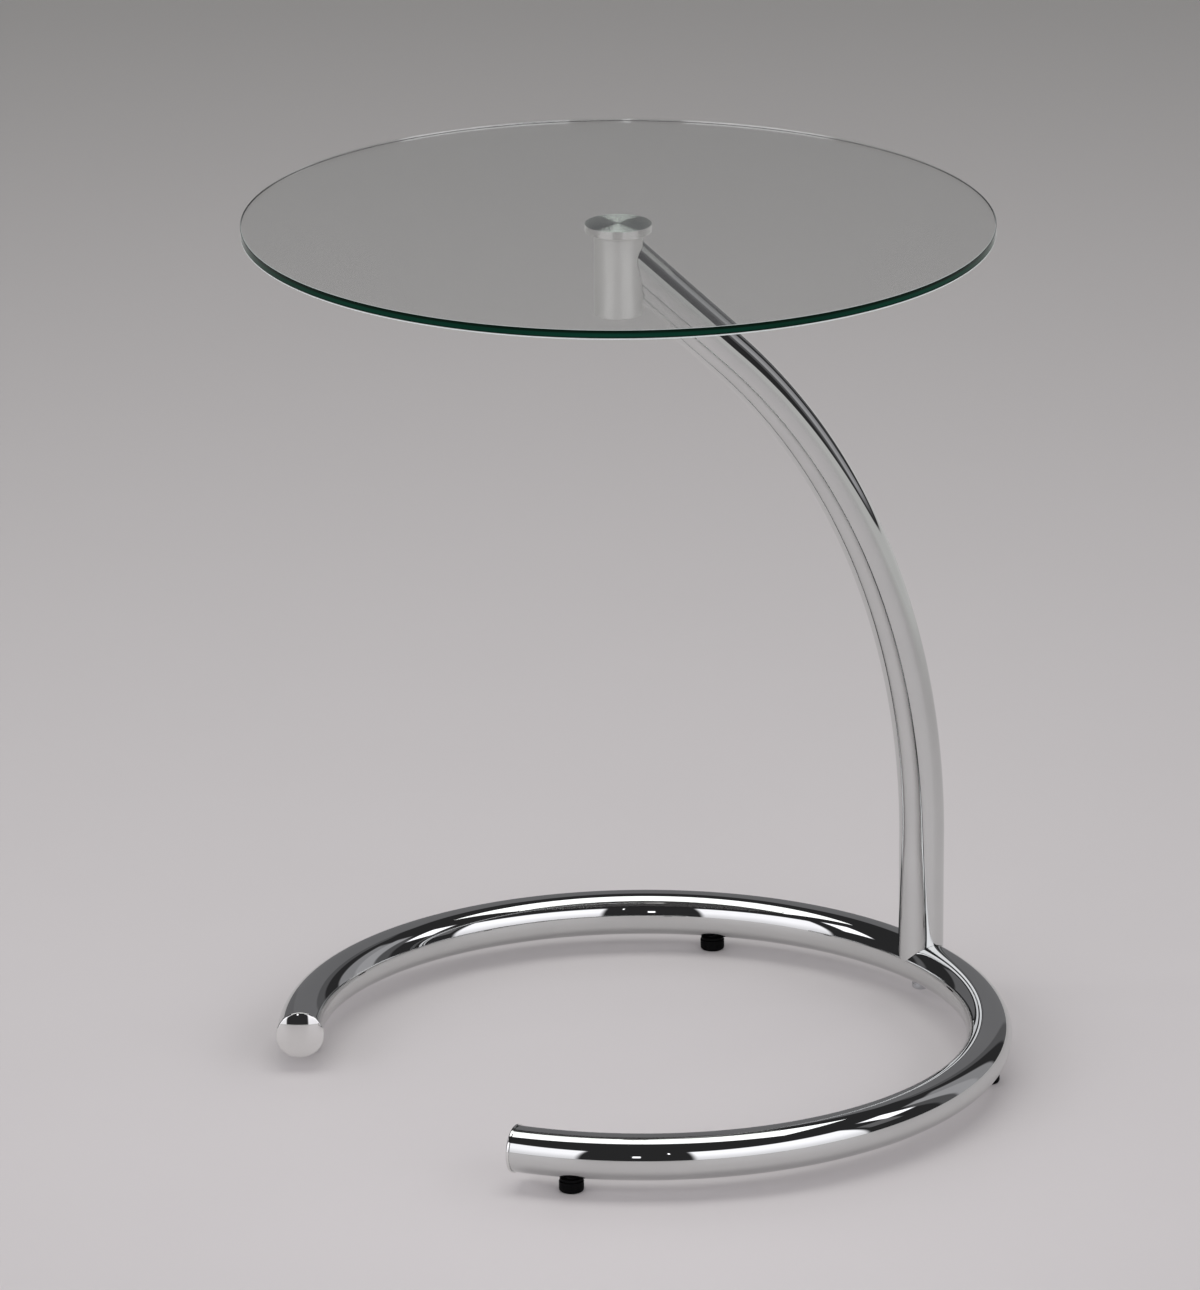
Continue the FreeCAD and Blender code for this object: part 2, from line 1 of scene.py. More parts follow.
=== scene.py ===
import bpy
import math
import numpy as np
from mathutils import Matrix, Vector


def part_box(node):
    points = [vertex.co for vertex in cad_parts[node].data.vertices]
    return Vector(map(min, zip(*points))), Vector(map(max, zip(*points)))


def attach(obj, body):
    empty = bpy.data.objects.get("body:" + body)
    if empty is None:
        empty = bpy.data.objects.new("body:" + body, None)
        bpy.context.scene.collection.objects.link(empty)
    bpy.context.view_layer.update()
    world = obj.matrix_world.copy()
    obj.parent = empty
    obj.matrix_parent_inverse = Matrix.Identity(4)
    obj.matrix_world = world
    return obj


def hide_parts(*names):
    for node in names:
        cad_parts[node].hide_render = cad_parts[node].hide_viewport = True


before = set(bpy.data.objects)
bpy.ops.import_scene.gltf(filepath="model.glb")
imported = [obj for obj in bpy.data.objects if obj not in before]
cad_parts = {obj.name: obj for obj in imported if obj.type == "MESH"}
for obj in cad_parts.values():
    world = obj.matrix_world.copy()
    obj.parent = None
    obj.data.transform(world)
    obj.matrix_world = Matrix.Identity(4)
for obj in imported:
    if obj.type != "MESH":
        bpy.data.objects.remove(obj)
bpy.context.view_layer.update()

# The glass side table is dressed in the order in which it is put together: ring, end caps, feet,
# bolt and arm, post, disc and glass. The floor, the light and the camera come last.

# The base ring: steel tube bent to most of a circle, chromed, and open at the front. It lies level
# just above the floor and carries everything else.
ring_low, ring_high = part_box("base_ring")
tube_radius = (ring_high.z - ring_low.z) / 2
tube_wall = 0.0015
ring_radius = ring_high.x - tube_radius
ring_centre = np.array([0.0, ring_high.y - ring_high.x, (ring_high.z + ring_low.z) / 2])
ring_end_angle = math.acos((ring_low.y - ring_centre[1]) / ring_high.x)
tube_sides = 96
ring_steps = 320
bore_steps = 80
chrome_bright = (0.695, 0.705, 0.695, 1)
chrome_dull = (0.635, 0.645, 0.64, 1)
chrome_blur = 0.008
smear_blur = 0.03
smears_per_metre = 38
waves_per_metre = 55
wave_depth = 0.00001
sharp_edge = math.radians(32)
same_place = 1e-8


def skin(name, grid, loop=False):
    """A mesh over a grid of points, with rows along the piece and columns round it.

    Each face joins point (i, j) to (i, j + 1), (i + 1, j + 1) and (i + 1, j). The last column joins
    the first, and in a loop the last row joins the first row. A row whose points all lie in one
    place is a pole, and the faces beside it are triangles."""
    rows, columns = grid.shape[:2]
    number = np.arange(rows * columns).reshape(rows, columns)
    pole = np.ptp(grid, axis=1).max(axis=1) < same_place
    number[pole] = number[pole][:, :1]
    if loop:
        number = np.vstack([number, number[:1]])
    across = np.roll(number, -1, axis=1)
    corners = np.stack([number[:-1], across[:-1], across[1:], number[1:]], axis=-1).reshape(-1, 4)
    used, corners = np.unique(corners, return_inverse=True)
    corners = corners.reshape(-1, 4)
    starts, ends = corners[:, 0] == corners[:, 1], corners[:, 2] == corners[:, 3]
    faces = corners[~starts & ~ends].tolist()
    faces += corners[starts][:, [0, 2, 3]].tolist() + corners[ends][:, [0, 1, 2]].tolist()
    mesh = bpy.data.meshes.new(name)
    mesh.from_pydata(grid.reshape(-1, 3)[used].tolist(), [], faces)
    mesh.shade_smooth()
    mesh.set_sharp_from_angle(angle=sharp_edge)
    piece = bpy.data.objects.new(name, mesh)
    bpy.context.scene.collection.objects.link(piece)
    return piece


def fit(piece, finish, slot, body, *nodes):
    """Gives a piece its finish and lets it stand for its nodes on the body that carries them."""
    piece.data.materials.append(finish)
    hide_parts(*nodes)
    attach(piece, body)


class Signal:
    """The output of a node. Sums on signals add the Math nodes that work them out."""

    def __init__(self, nodes, socket):
        self.nodes, self.socket = nodes, socket

    def math(self, operation, *terms, clamped=False):
        settings = {"operation": operation, "use_clamp": clamped}
        return self.nodes.add("ShaderNodeMath", settings, dict(enumerate(terms)))

    def __add__(self, other):
        return self.math("ADD", self, other)

    def __mul__(self, other):
        return self.math("MULTIPLY", self, other)

    def __sub__(self, other):
        return self.math("SUBTRACT", self, other)

    def __rsub__(self, other):
        return self.math("SUBTRACT", other, self)

    def __pow__(self, other):
        return self.math("POWER", self, other)

    __radd__ = __add__
    __rmul__ = __mul__


class Nodes:
    """The nodes of one finish, or of the room that surrounds the table."""

    def __init__(self, owner):
        owner.use_nodes = True
        self.owner, self.tree = owner, owner.node_tree
        self.tree.nodes.clear()

    def add(self, kind, settings=None, inputs=None, output=0):
        """A new node: its settings are set first, then its sockets get their values or links."""
        node = self.tree.nodes.new(kind)
        for name, value in (settings or {}).items():
            setattr(node, name, value)
        for name, value in (inputs or {}).items():
            if isinstance(value, Signal):
                self.tree.links.new(value.socket, node.inputs[name])
            else:
                node.inputs[name].default_value = value
        return Signal(self, node.outputs[output]) if node.outputs else node

    def vector(self, operation, inputs, output=0):
        """A sum on vectors."""
        return self.add("ShaderNodeVectorMath", {"operation": operation}, inputs, output)

    def place(self, centre=(0, 0, 0), stretch=(1, 1, 1)):
        """Where a point of the piece lies, measured from centre and stretched along X, Y and Z."""
        spot = self.add("ShaderNodeTexCoord", output="Object")
        from_centre = self.vector("SUBTRACT", {0: spot, 1: centre})
        return self.vector("MULTIPLY", {0: from_centre, 1: stretch})

    def cloud(self, place, per_metre, detail):
        """Soft noise from 0 to 1 with about per_metre patches in a metre, each broken up detail
        times into patches of half the size."""
        inputs = {"Vector": place, "Scale": per_metre, "Detail": detail}
        return self.add("ShaderNodeTexNoise", {}, inputs)

    def between(self, share, low, high):
        """The colour that lies share of the way from low to high."""
        inputs = {0: share, 6: low, 7: high}
        return self.add("ShaderNodeMix", {"data_type": "RGBA"}, inputs, output=2)

    def ramp(self, value, low, high):
        """Rises smoothly from 0 to 1 while value goes from low to high."""
        return self.add("ShaderNodeMapRange", {"interpolation_type": "SMOOTHSTEP"},
                        {"Value": value, "From Min": low, "From Max": high})

    def relief(self, height, depth):
        """The normal of a surface that height, from 0 to 1, raises by depth metres."""
        inputs = {"Height": height, "Distance": depth, "Strength": 1.0}
        return self.add("ShaderNodeBump", {}, inputs)

    def grooves(self, centre, pitch, slope):
        """The normal of a turned surface under grooves too fine to see. They lean it along the
        profile, which is across both the axis and the way round, by slope sin(2 pi run / pitch),
        where run is the radius plus the height."""
        place = self.place(centre)
        outward = self.vector("NORMALIZE", {0: self.vector("MULTIPLY", {0: place, 1: (1, 1, 0)})})
        out_and_up = self.vector("ADD", {0: outward, 1: (0, 0, 1)})
        run = self.vector("DOT_PRODUCT", {0: place, 1: out_and_up}, output="Value")
        smooth = self.add("ShaderNodeNewGeometry", output="Normal")
        round_it = self.vector("CROSS_PRODUCT", {0: (0, 0, 1), 1: outward})
        along = self.vector("CROSS_PRODUCT", {0: smooth, 1: round_it})
        groove = run.math("SINE", run * (2 * math.pi / pitch))
        lean = self.vector("SCALE", {0: along, "Scale": slope * groove})
        return self.vector("NORMALIZE", {0: self.vector("ADD", {0: smooth, 1: lean})})

    def surface(self, **sockets):
        """Ends the finish with a Principled surface. Names of sockets have _ in place of a space."""
        inputs = {name.replace("_", " "): value for name, value in sockets.items()}
        shader = self.add("ShaderNodeBsdfPrincipled", {}, inputs)
        self.add("ShaderNodeOutputMaterial", {}, {"Surface": shader})
        return self.owner


def bent_round(angle, side, radius):
    """The ring's tube: a circle of the given radius round the ring's line, side radians from its
    outer side, carried round the ring's centre to angle radians from the arm."""
    out = ring_radius + radius * np.cos(side)
    from_centre = [out * np.sin(angle), out * np.cos(angle), radius * np.sin(side)]
    return ring_centre + np.stack(from_centre, axis=-1)


def chrome_plate(name, bright, dull):
    """Chrome plate: a mirror with a slight wave in it and faint smears from handling."""
    nodes = Nodes(bpy.data.materials.new(name))
    place = nodes.place()
    smear = nodes.cloud(place, smears_per_metre, detail=4)
    wave = nodes.cloud(place, waves_per_metre, detail=1)
    return nodes.surface(Base_Color=nodes.between(smear, bright, dull), Metallic=1.0,
                         Roughness=chrome_blur + smear_blur * smear ** 2,
                         Normal=nodes.relief(wave, wave_depth))


turn = np.linspace(0, 2 * math.pi, tube_sides, endpoint=False)
out_and_back = np.concatenate([np.linspace(-ring_end_angle, ring_end_angle, ring_steps),
                               np.linspace(ring_end_angle, -ring_end_angle, bore_steps)])
skin_radius = np.repeat([tube_radius, tube_radius - tube_wall], [ring_steps, bore_steps])
chrome = chrome_plate("bright_chrome", chrome_bright, chrome_dull)
ring_grid = bent_round(out_and_back[:, None], turn, skin_radius[:, None])
chromed_ring = skin("chromed_ring", ring_grid, loop=True)
fit(chromed_ring, chrome, "chrome_tube", "root", "base_ring")

# The end caps: steel plugs with low domed heads, chromed and pressed into the ring's two ends. The
# heads are a little wider than the tube and lie on its cut ends.
cap_bright = (0.81, 0.81, 0.795, 1)
cap_dull = (0.76, 0.76, 0.75, 1)
cap_lip = 0.0007
cap_rim = 0.0017
cap_bulge = 0.0026
cap_edge_round = 0.0010
cap_seat_gap = 0.0001
cap_spigot_length = 0.010
cap_spigot_radius = tube_radius - tube_wall - cap_seat_gap
cap_tip_radius = cap_spigot_radius - cap_spigot_length ** 2 / (2 * ring_radius)
dome_steps = 24
edge_steps = 14
corner_steps = 5
flat_guard = 1.5


def rounded(corners):
    """An outline of straight runs with rounded corners.

    Each corner is its distance from the axis, its height and the length rounded off. The round is the
    curve (1 - t)^2 a + 2 t (1 - t) b + t^2 c, from a before the corner b to c after it, with one
    more point on each side, flat_guard as far off, to keep the flats beside it flat."""
    corners = np.array(corners, float)
    corner, cut = corners[:, :2], corners[:, 2:]
    back, on = (np.roll(corner, shift, axis=0) - corner for shift in (1, -1))
    back, on = (run / np.linalg.norm(run, axis=1, keepdims=True) for run in (back, on))
    share = np.linspace(0, 1, corner_steps)[:, None, None]
    curve = (1 - share) ** 2 * (cut * back) + share ** 2 * (cut * on)
    spread = np.concatenate([[flat_guard * cut * back], curve, [flat_guard * cut * on]])
    outline = (corner + spread).transpose(1, 0, 2).reshape(-1, 2)
    step = np.linalg.norm(np.diff(outline, axis=0), axis=1)
    return outline[np.concatenate([[True], step > same_place])]


def turned(name, outline, centre, sides, axis=(0, 0, 1), across=(1, 0, 0), loop=False):
    """A turned piece: each point of the outline goes round the axis. It lies at
    centre + radius (cos(angle) across + sin(angle) (axis x across)) + height axis."""
    axis, across = np.array(axis, float), np.array(across, float)
    angle = np.linspace(0, 2 * math.pi, sides, endpoint=False)[:, None]
    way = np.cos(angle) * across + np.sin(angle) * np.cross(axis, across)
    grid = np.array(centre) + outline[:, None, :1] * way + outline[:, None, 1:] * axis
    return skin(name, grid, loop)


cap_radius = tube_radius + cap_lip
dome_radius = (cap_radius ** 2 + cap_bulge ** 2) / (2 * cap_bulge)
dome_foot = cap_rim + cap_bulge - dome_radius
edge_out = cap_radius - cap_edge_round
edge_up = dome_foot + math.sqrt((dome_radius - cap_edge_round) ** 2 - edge_out ** 2)
edge_tilt = math.atan2(edge_out, edge_up - dome_foot)
edge_angle = np.linspace(math.pi / 2, edge_tilt, edge_steps)
dome_angle = np.linspace(edge_tilt, 0, dome_steps)[1:]
cap_spigot = [[0, -cap_spigot_length], [cap_tip_radius, -cap_spigot_length],
              [cap_spigot_radius, 0], [cap_radius, 0]]
cap_edge = np.stack([edge_out + cap_edge_round * np.sin(edge_angle),
                     edge_up + cap_edge_round * np.cos(edge_angle)], axis=1)
cap_dome = np.stack([dome_radius * np.sin(dome_angle),
                     dome_foot + dome_radius * np.cos(dome_angle)], axis=1)
cap_outline = np.concatenate([cap_spigot, cap_edge, cap_dome])
cap_chrome = chrome_plate("cap_chrome", cap_bright, cap_dull)
for side, way in (("right", 1), ("left", -1)):
    end = np.array([way * math.sin(ring_end_angle), math.cos(ring_end_angle), 0])
    outward = np.array([way * math.cos(ring_end_angle), -math.sin(ring_end_angle), 0])
    cap = turned("chrome_cap_" + side, cap_outline, ring_centre + ring_radius * end, tube_sides,
                 axis=outward, across=(0, 0, 1))
    fit(cap, cap_chrome, "chrome_tube", "root", "end_cap_" + side)

# The four levelling feet: a black moulded pad that snaps over the disc on a zinc-plated stud, a
# black thumb collar moulded on the stud, and a blackened steel nut riveted in the ring for the stud.
pad_sole = 0.0014
pad_round = 0.0018
pad_chamfer = 0.0005
snap_radius = 0.00465
snap_roof = 0.0033
pad_hole_radius = 0.0033
collar_round = 0.0003
stud_radius = 0.003
foot_sides = 72
plastic_black = (0.003, 0.003, 0.0032, 1)
plastic_grey = (0.008, 0.008, 0.0085, 1)
plastic_gloss = 0.04
plastic_blur = 0.44
scuff_blur = 0.22
scuffs_per_metre = 240
grains_per_metre = 5200
grain_depth = 0.00002
zinc_light = (0.66, 0.67, 0.70, 1)
zinc_dark = (0.48, 0.49, 0.50, 1)
steel_light = (0.56, 0.56, 0.55, 1)
steel_dark = (0.34, 0.33, 0.32, 1)
blackened_light = (0.030, 0.030, 0.032, 1)
blackened_dark = (0.012, 0.012, 0.013, 1)
zinc_blur = 0.12
steel_blur = 0.34
blackened_blur = 0.45
stain_blur = 0.16
stains_per_metre = 320
lathe_rings_per_metre = 260
lathe_ring_stretch = (1, 1, 30)
lathe_ring_depth = 0.00001


def black_moulding():
    """Black plastic from a spark-eroded mould: a fine grain, and scuffs that leave it greyer."""
    nodes = Nodes(bpy.data.materials.new("black_moulding"))
    place = nodes.place()
    scuff = nodes.cloud(place, scuffs_per_metre, detail=5)
    grain = nodes.cloud(place, grains_per_metre, detail=2)
    return nodes.surface(Base_Color=nodes.between(scuff ** 3, plastic_black, plastic_grey),
                         Roughness=plastic_blur + scuff_blur * scuff,
                         Specular_IOR_Level=plastic_gloss,
                         Normal=nodes.relief(grain, grain_depth))


def turned_steel(name, light, dark, blur):
    """Turned steel, bare, blackened or under bright zinc: stained from light to dark, with fine
    rings from the lathe."""
    nodes = Nodes(bpy.data.materials.new(name))
    stain = nodes.cloud(nodes.place(), stains_per_metre, detail=4)
    rings = nodes.cloud(nodes.place(stretch=lathe_ring_stretch), lathe_rings_per_metre, detail=2)
    return nodes.surface(Base_Color=nodes.between(stain, light, dark), Metallic=1.0,
                         Roughness=blur + stain_blur * stain,
                         Normal=nodes.relief(rings, lathe_ring_depth))


def dress(node, finish):
    """Gives a piece that keeps its own shape a better finish."""
    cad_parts[node].data.materials.clear()
    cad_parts[node].data.materials.append(finish)


plastic = black_moulding()
zinc_plate = turned_steel("bright_zinc", zinc_light, zinc_dark, zinc_blur)
bare_steel = turned_steel("bare_steel", steel_light, steel_dark, steel_blur)
blackened_steel = turned_steel("blackened_steel", blackened_light, blackened_dark, blackened_blur)
for corner in ("right_back", "right_front", "left_back", "left_front"):
    pad_low, pad_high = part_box("foot_pad_" + corner)
    foot_centre = [(pad_low.x + pad_high.x) / 2, (pad_low.y + pad_high.y) / 2, 0]
    pad_radius, pad_top = (pad_high.x - pad_low.x) / 2, pad_high.z
    pad_outline = rounded([(0, pad_low.z, 0), (pad_radius, pad_low.z, pad_round),
                           (pad_radius, pad_top, pad_chamfer), (pad_hole_radius, pad_top, 0),
                           (pad_hole_radius, snap_roof, 0), (snap_radius, snap_roof, 0),
                           (snap_radius, pad_sole, 0), (0, pad_sole, 0)])
    pad = turned("moulded_pad_" + corner, pad_outline, foot_centre, foot_sides)
    fit(pad, plastic, "foot_plastic", "pad_" + corner, "foot_pad_" + corner)

    collar_low, collar_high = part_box("foot_collar_" + corner)
    collar_radius = (collar_high.x - collar_low.x) / 2
    collar_outline = rounded([(stud_radius, collar_low.z, 0),
                              (collar_radius, collar_low.z, collar_round),
                              (collar_radius, collar_high.z, collar_round),
                              (stud_radius, collar_high.z, 0)])
    collar = turned("moulded_collar_" + corner, collar_outline, foot_centre, foot_sides, loop=True)
    fit(collar, plastic, "foot_plastic", "stud_" + corner, "foot_collar_" + corner)

    dress("foot_stud_" + corner, zinc_plate)
    dress("foot_insert_" + corner, blackened_steel)

# The bolt under the ring, its curved washer, and the two steel plugs welded into the arm's ends.
# The bolt goes up through the ring into the lower plug, and the upper plug enters the post.
for fastener in ("base_bolt", "saddle_washer", "post_bolt", "lock_washer"):
    dress(fastener, zinc_plate)
for plug in ("arm_foot_plug", "arm_head_plug"):
    dress(plug, bare_steel)

# The arm: the same tube, upright from the back of the ring, bent once, then straight to the post.
# Its lower end is cut to lie over the ring's tube, and its upper end to lie against the post.
post_low, post_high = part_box("post")
post_radius = (post_high.x - post_low.x) / 2
post_y = (post_high.y + post_low.y) / 2
arm_seat_share = 0.48
arm_corner_share = 0.5916
arm_straight_length = 0.0883
seat_gap = 0.0001
arm_steps = 260
arm_seat_height = post_high.z - arm_seat_share * (post_high.z - post_low.z)
arm_foot_y = ring_centre[1] + ring_radius
arm_span = arm_foot_y - post_y - post_radius
arm_climb = arm_seat_height - ring_centre[2]
arm_angle = math.atan(arm_span / (arm_climb * (1 - arm_corner_share)))
arm_tangent = arm_span / math.sin(arm_angle) - arm_straight_length
arm_bend_radius = arm_tangent / math.tan(arm_angle / 2)
arm_leg = arm_climb * arm_corner_share - arm_tangent


def bent_over(run, side, radius):
    """The arm's tube: a circle of the given radius, side radians round from +X, at the distance run
    along the arm's line. The line is upright for arm_leg, an arc to arm_angle, and then straight,
    and it leans by lean = (run - arm_leg) / arm_bend_radius, held between 0 and arm_angle."""
    lean = np.clip((run - arm_leg) / arm_bend_radius, 0, arm_angle)
    past = np.maximum(run - arm_leg - arm_bend_radius * arm_angle, 0)
    line_y = arm_foot_y - arm_bend_radius * (1 - np.cos(lean)) - past * math.sin(arm_angle)
    line_z = arm_bend_radius * np.sin(lean) + past * math.cos(arm_angle) + np.minimum(run, arm_leg)
    across, out = radius * np.cos(side), radius * np.sin(side)
    point = [across + 0 * run, line_y + out * np.cos(lean),
             ring_centre[2] + line_z + out * np.sin(lean)]
    return np.stack(point, axis=-1)


def arm_shell(radius, steps):
    """One skin of the arm from its foot to its head, on a grid of steps by tube_sides points.

    A point's run starts where its upright line meets the ring's tube, at the height
    sqrt(r^2 - d^2) for d off the ring's line, and ends where its slanting line meets the post, at
    sqrt(p^2 - x^2) in front of the post's axis."""
    across, out = radius * np.cos(turn), radius * np.sin(turn)
    off_line = np.hypot(across, arm_foot_y + out - ring_centre[1]) - ring_radius
    start = np.sqrt(np.maximum((tube_radius + seat_gap) ** 2 - off_line ** 2, 0))
    bend_end = arm_leg + arm_bend_radius * arm_angle
    bend_end_y = arm_foot_y - arm_bend_radius * (1 - math.cos(arm_angle))
    post_face = post_y + np.sqrt((post_radius + seat_gap) ** 2 - across ** 2)
    finish = bend_end + (bend_end_y + out * math.cos(arm_angle) - post_face) / math.sin(arm_angle)
    share = np.linspace(0, 1, steps)[:, None]
    return bent_over(start + share * (finish - start), turn, radius)


arm_bore = arm_shell(tube_radius - tube_wall, bore_steps)[::-1]
arm_grid = np.concatenate([arm_shell(tube_radius, arm_steps), arm_bore])
chromed_arm = skin("chromed_arm", arm_grid, loop=True)
fit(chromed_arm, chrome, "chrome_tube", "root", "arm_tube")

# The post: aluminium bar, turned and satin anodised, with a small chamfer below and a counterbore
# for the bolt. The turned spacer ring lies between it and the disc.
post_chamfer = 0.001
post_bore_radius = 0.0073
post_bore_depth = 0.010
spacer_round = 0.0003
post_sides = 128
aluminium_light = (0.92, 0.915, 0.90, 1)
aluminium_dark = (0.82, 0.815, 0.80, 1)
satin_blur = 0.42
streak_blur = 0.10
streaks_per_metre = 5200
streak_stretch = (0.02, 0.02, 1)
cloud_share = 0.6
clouds_per_metre = 90
turning_pitch = 0.0001
turning_slope = 0.30
turning_slope_more = 0.1


def satin_aluminium():
    """Satin anodised aluminium: soft sheen over the fine grooves left by the lathe, with some level
    streaks darker and deeper."""
    nodes = Nodes(bpy.data.materials.new("satin_aluminium"))
    streak = nodes.cloud(nodes.place(stretch=streak_stretch), streaks_per_metre, detail=2)
    cloud = nodes.cloud(nodes.place(), clouds_per_metre, detail=3)
    darker = cloud_share * cloud + (1 - cloud_share) * streak
    slope = turning_slope + turning_slope_more * streak
    return nodes.surface(Base_Color=nodes.between(darker, aluminium_light, aluminium_dark),
                         Metallic=1.0, Roughness=satin_blur + streak_blur * streak,
                         Normal=nodes.grooves((0, post_y, 0), turning_pitch, slope))


satin = satin_aluminium()
post_bore_top = post_low.z + post_bore_depth
post_outline = rounded([(0, post_bore_top, 0), (post_bore_radius, post_bore_top, 0),
                        (post_bore_radius, post_low.z, 0), (post_radius, post_low.z, post_chamfer),
                        (post_radius, post_high.z, spacer_round), (0, post_high.z, 0)])
turned_post = turned("turned_post", post_outline, (0, post_y, 0), post_sides)
fit(turned_post, satin, "satin_aluminium", "root", "post")

spacer_low, spacer_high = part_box("spacer_ring")
spacer_radius = (spacer_high.x - spacer_low.x) / 2
boss_hole_radius = 0.0071
spacer_outline = rounded([(boss_hole_radius, spacer_low.z, 0),
                          (spacer_radius, spacer_low.z, spacer_round),
                          (spacer_radius, spacer_high.z, spacer_round),
                          (boss_hole_radius, spacer_high.z, 0)])
turned_spacer = turned("turned_spacer", spacer_outline, (0, post_y, 0), post_sides, loop=True)
fit(turned_spacer, satin, "satin_aluminium", "root", "spacer_ring")

# The disc: turned aluminium, its top left with the fine spiral of the facing cut and bonded under
# the glass with clear adhesive. Its boss goes down through the spacer into the post.
disc_low, disc_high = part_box("glass_disc")
disc_radius = (disc_high.x - disc_low.x) / 2
disc_thickness = 0.005
boss_radius = 0.007
disc_edge = 0.0003
bond_line = 0.00005
groove_pitch = 0.0006
groove_depth = 0.00002
points_per_groove = 6
spun_pitch = 0.00013
spun_slope = 0.64
spun_slope_least = 0.5
spun_side_share = 0.4
spun_blur = 0.09
spun_patch_blur = 0.06
spun_patches_per_metre = 160
ray_density = 9
# The top's colours: light and dark patches, painted a little green for the tint of the glass over it.
disc_painted_green_light = (0.81, 0.86, 0.835, 1)
disc_painted_green_dark = (0.69, 0.74, 0.71, 1)


def spun_aluminium():
    """Aluminium spun to a fine finish, whose grooves spread the light into fans from the centre. They
    are deeper in some rays, where the tool pressed unevenly, and shallower on the disc's side. The
    top, seen through the glass, is painted a little greenish for the glass's tint, and the side is
    not."""
    nodes = Nodes(bpy.data.materials.new("spun_aluminium"))
    patch = nodes.cloud(nodes.place(), spun_patches_per_metre, detail=4)
    way_out = nodes.vector("NORMALIZE", {0: nodes.place(centre=(0, post_y, 0), stretch=(1, 1, 0))})
    ray = nodes.cloud(way_out, ray_density, detail=6)
    smooth = nodes.add("ShaderNodeNewGeometry", output="Normal")
    upward = nodes.add("ShaderNodeSeparateXYZ", {}, {0: smooth}, output=2)
    upper = spun_side_share + (1 - spun_side_share) * upward
    slope = spun_slope * (spun_slope_least + ray) * upper
    # The top is painted greenish for the glass over it, and the side keeps the plain aluminium.
    colour = nodes.between(upward, aluminium_light, nodes.between(patch, disc_painted_green_light, disc_painted_green_dark))
    return nodes.surface(Base_Color=colour, Metallic=1.0,
                         Roughness=spun_blur + spun_patch_blur * patch,
                         Normal=nodes.grooves((0, post_y, 0), spun_pitch, slope))


disc_top = disc_high.z - bond_line
disc_outline = rounded([(0, disc_low.z, 0), (boss_radius, disc_low.z, disc_edge),
                        (boss_radius, disc_high.z - disc_thickness, 0),
                        (disc_radius, disc_high.z - disc_thickness, disc_edge),
                        (disc_radius, disc_top, disc_edge)])
groove_count = int((disc_radius - 2 * disc_edge) / groove_pitch)
groove_radius = np.linspace(groove_count * groove_pitch, 0, groove_count * points_per_groove + 1)
groove_height = disc_top - groove_depth * np.sin(math.pi * groove_radius / groove_pitch) ** 2
faced_outline = np.vstack([disc_outline, np.stack([groove_radius, groove_height], axis=1)])
faced_disc = turned("faced_disc", faced_outline, (0, post_y, 0), post_sides)
fit(faced_disc, spun_aluminium(), "turned_disc", "root", "glass_disc")

# The top: clear float glass, cut round, its edge ground flat with two small bevels and polished. The
# iron in it shows deep green where one looks into the edge. It is bonded to the disc.
glass_low, glass_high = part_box("glass_top")
glass_radius = (glass_high.x - glass_low.x) / 2
glass_y = (glass_high.y + glass_low.y) / 2
glass_arris = 0.0005
glass_sides = 400
flat_face = 0.95
glass_clear = (0.985, 0.995, 0.975, 1)
glass_tinted = (0.97, 0.99, 0.965, 1)
# The edge's own deep green, and a lighter green that is painted light coming through the sheet.
edge_deep = (0.0005, 0.010, 0.005, 1)
edge_green_painted_lit = (0.003, 0.065, 0.038, 1)
# The pale colour of the painted highlights along the bevels.
edge_painted_highlight = (0.82, 0.88, 0.86, 1)
edge_gloss = 0.06
edge_blur = 0.06
edge_streak_blur = 0.05
edge_streaks_per_metre = 9
edge_streak_stretch = (1, 1, 26)
glass_ior = 1.52
tints_per_metre = 3
glass_waves_per_metre = 9
glass_wave_depth = 0.000004
# Heights of the painted highlights along the foot and the top of the edge.
painted_highlight_foot = 0.0010
painted_highlight_foot_fade = 0.0002
painted_highlight_top = 0.0058
painted_highlight_top_fade = 0.0001
painted_highlight_top_share = 0.6
# Inside the sheet: the mirror's colour, and the heights of the painted dark line at its foot and of
# the mirror above it.
inner_bright = (0.97, 0.98, 0.97, 1)
inner_painted_shade_top = 0.0006
inner_bright_foot = 0.0012
# Heights of the band of painted light in the green, between the foot and the top.
painted_light_band_foot = 0.0017
painted_light_band_foot_fade = 0.0005
painted_light_band_top = 0.0040
painted_light_band_top_fade = 0.0006


def clear_glass():
    """Float glass: clear, with the faint tint and the very slight wave that such sheet has."""
    nodes = Nodes(bpy.data.materials.new("clear_glass"))
    place = nodes.place()
    tint = nodes.cloud(place, tints_per_metre, detail=2)
    wave = nodes.cloud(place, glass_waves_per_metre, detail=1)
    return nodes.surface(Base_Color=nodes.between(tint, glass_clear, glass_tinted), Roughness=0.0,
                         IOR=glass_ior, Transmission_Weight=1.0,
                         Normal=nodes.relief(wave, glass_wave_depth))


